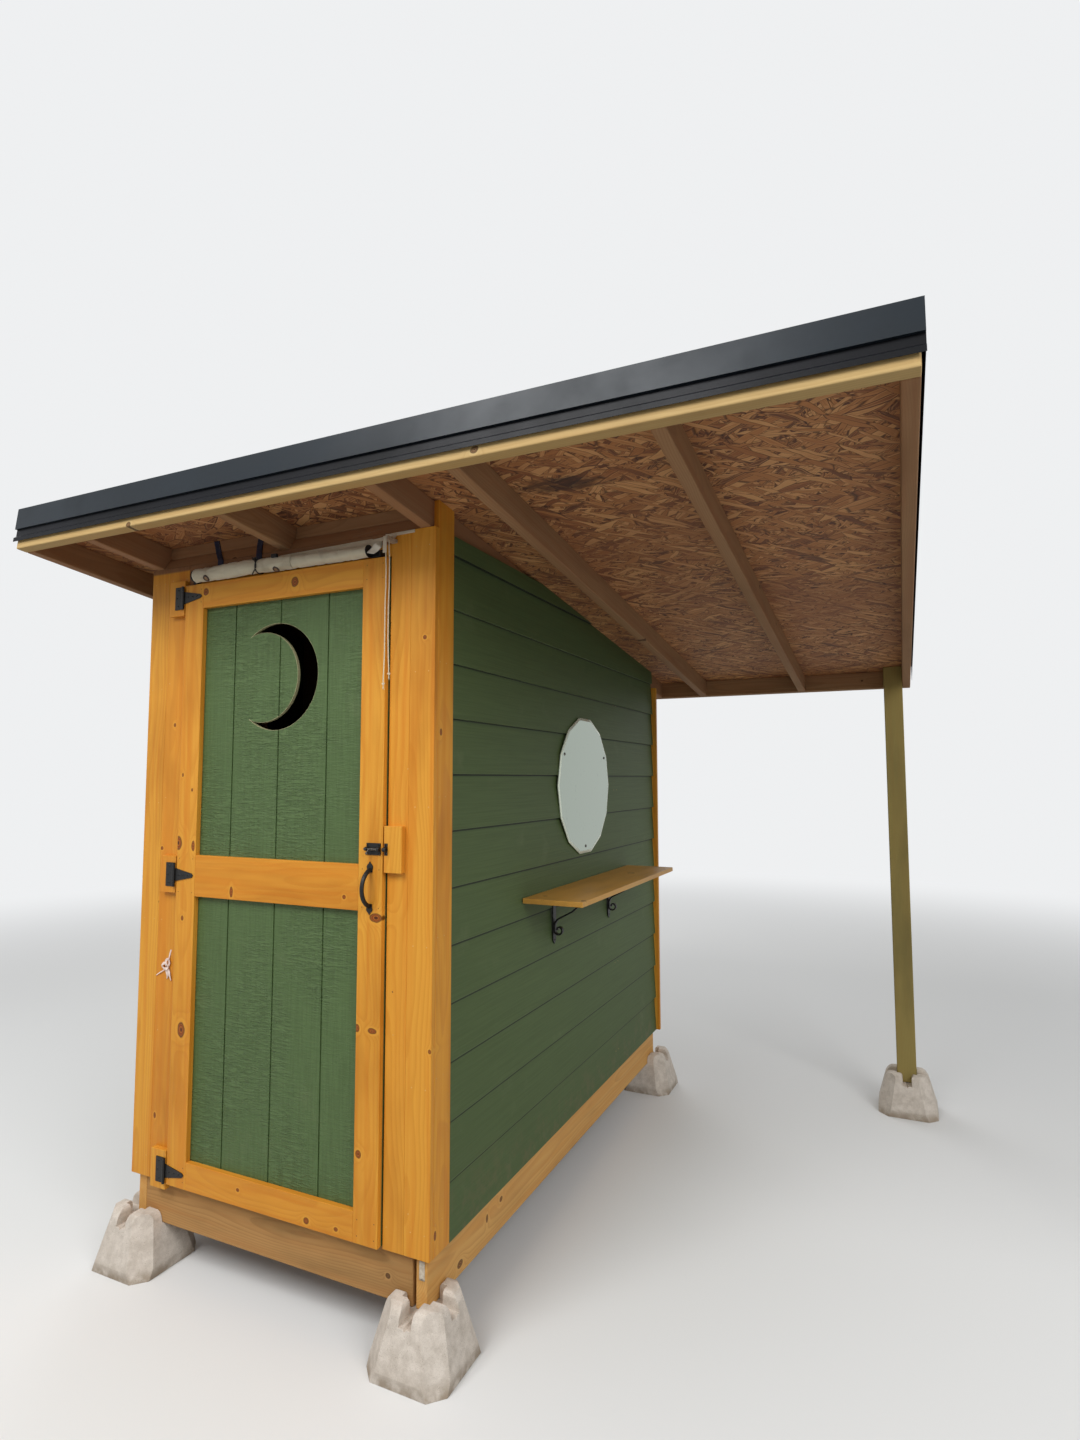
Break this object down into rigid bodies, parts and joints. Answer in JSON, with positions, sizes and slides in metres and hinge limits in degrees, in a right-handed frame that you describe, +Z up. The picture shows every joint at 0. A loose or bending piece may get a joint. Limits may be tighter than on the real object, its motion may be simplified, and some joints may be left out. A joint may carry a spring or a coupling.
{
  "type": "wooden outhouse",
  "caption": "Narrow wooden outhouse on concrete deck blocks, with a moon cut through its door, a wall mirror and shelf, and a lean-to roof carried out to a corner post.",
  "frame": {"origin": "middle of the overall box, at the ground under the deck blocks", "axes": "+Z up, -Y the front with the door, +X the visitor's right, where the roof runs on over a post"},
  "size_m": [2.9214, 2.9506, 2.6223],
  "materials": {
    "concrete": "cast concrete, weathered and dusty",
    "treated_lumber": "pressure-treated lumber, greenish brown",
    "stained_rim": "lumber with a clear brown stain",
    "plywood": "plywood sheet",
    "raw_lumber": "bare framing lumber",
    "green_siding": "embossed siding boards painted dull green",
    "stained_pine": "knotty pine with an orange-brown stain",
    "strand_board": "strand board in shade",
    "roof_metal": "charcoal coated steel",
    "treated_post": "pressure-treated post, greenish",
    "green_panel": "grooved panel painted dull green",
    "black_iron": "satin black",
    "bolt_steel": "worn black steel",
    "mirror_glass": "silvered glass with a ground edge",
    "blind_cloth": "heavy pale canvas",
    "strap_cloth": "dark woven band",
    "cord_fibre": "off-white braided cord"
  },
  "bodies": {
    "house": {"house_deck_blocks": "concrete", "post_deck_block": "concrete", "end_rims": "treated_lumber", "side_rims": "stained_rim", "floor_joists": "treated_lumber", "floor_sheets": "plywood", "bottom_plates": "raw_lumber", "wall_studs": "raw_lumber", "top_plates": "raw_lumber", "left_siding": "green_siding", "right_siding": "green_siding", "back_siding": "green_siding", "front_corner_boards": "stained_pine", "side_corner_boards": "stained_pine", "back_corner_boards": "stained_pine", "door_casing": "stained_pine", "rafters": "raw_lumber", "barge_rafters": "raw_lumber", "wall_blocking": "raw_lumber", "front_fascia": "raw_lumber", "rear_fascia": "raw_lumber", "roof_sheathing": "strand_board", "roof_panels": "roof_metal", "front_roof_trim": "roof_metal", "drip_edge": "roof_metal", "rake_trims": "roof_metal", "roof_post": "treated_post", "hinge_blocks": "stained_pine", "hinge_plates": "black_iron", "latch_block": "stained_pine", "bolt_keeper": "black_iron", "wall_mirror": "mirror_glass", "wall_shelf": "stained_rim", "shelf_brackets": "black_iron", "rolled_blind": "blind_cloth", "blind_fixings": "strap_cloth", "long_pull_cord": "cord_fibre", "short_pull_cord": "cord_fibre"},
    "door": {"door_panel": "green_panel", "door_stiles": "stained_pine", "door_rails": "stained_pine", "hinge_straps": "black_iron", "bolt_guide": "black_iron", "door_pull": "black_iron"},
    "bolt": {"sliding_bolt": "bolt_steel"}
  },
  "joints": [
    {"name": "door_hinge", "type": "hinge", "parent": "house", "child": "door", "pos_m": [-0.96575, -1.17549, 1.329], "axis": [0, 0, -1], "range_deg": [0, 170]},
    {"name": "bolt_slide", "type": "slide", "parent": "door", "child": "bolt", "axis": [1, 0, 0], "range_m": [0, 0.024]}
  ]
}
